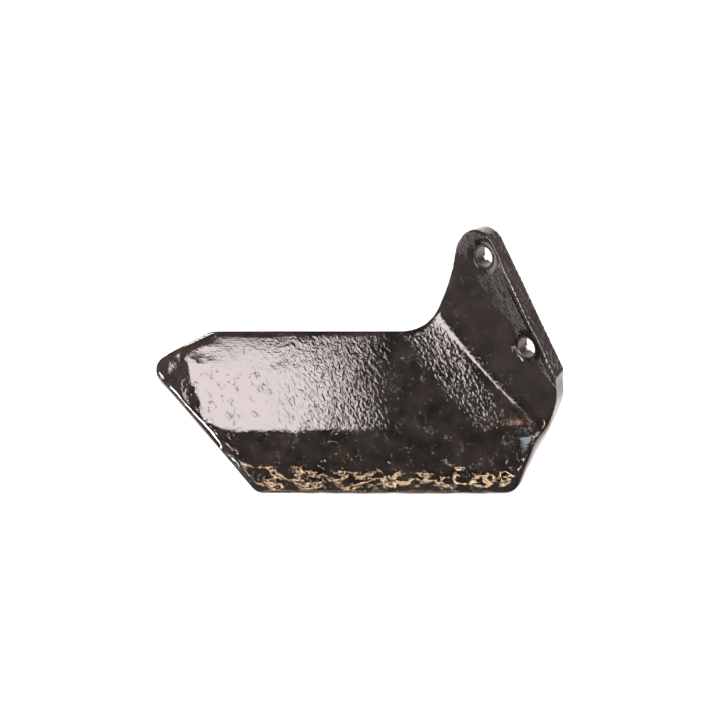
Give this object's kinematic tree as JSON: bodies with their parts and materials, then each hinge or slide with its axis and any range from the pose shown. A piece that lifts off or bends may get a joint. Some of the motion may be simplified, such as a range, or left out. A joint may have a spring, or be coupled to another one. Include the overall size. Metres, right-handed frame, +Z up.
{
  "type": "bolt-on wing blade",
  "caption": "Flat black wing blade with a bevelled ground edge and a bent-up ear, whose two bolt holes are lined with split steel bushes.",
  "frame": {"origin": "under the middle of the part's box, on the plane that the blade's underside lies on", "axes": "+Z up from the blade's face, -X towards the cutting tip, -Y towards the ground edge"},
  "size_m": [0.2624, 0.1672, 0.0541],
  "materials": {
    "black_enamel": "gloss",
    "spring_steel": "satin"
  },
  "bodies": {
    "root": {"wing_blade": "black_enamel", "lower_bush": "spring_steel", "upper_bush": "spring_steel"}
  },
  "joints": []
}
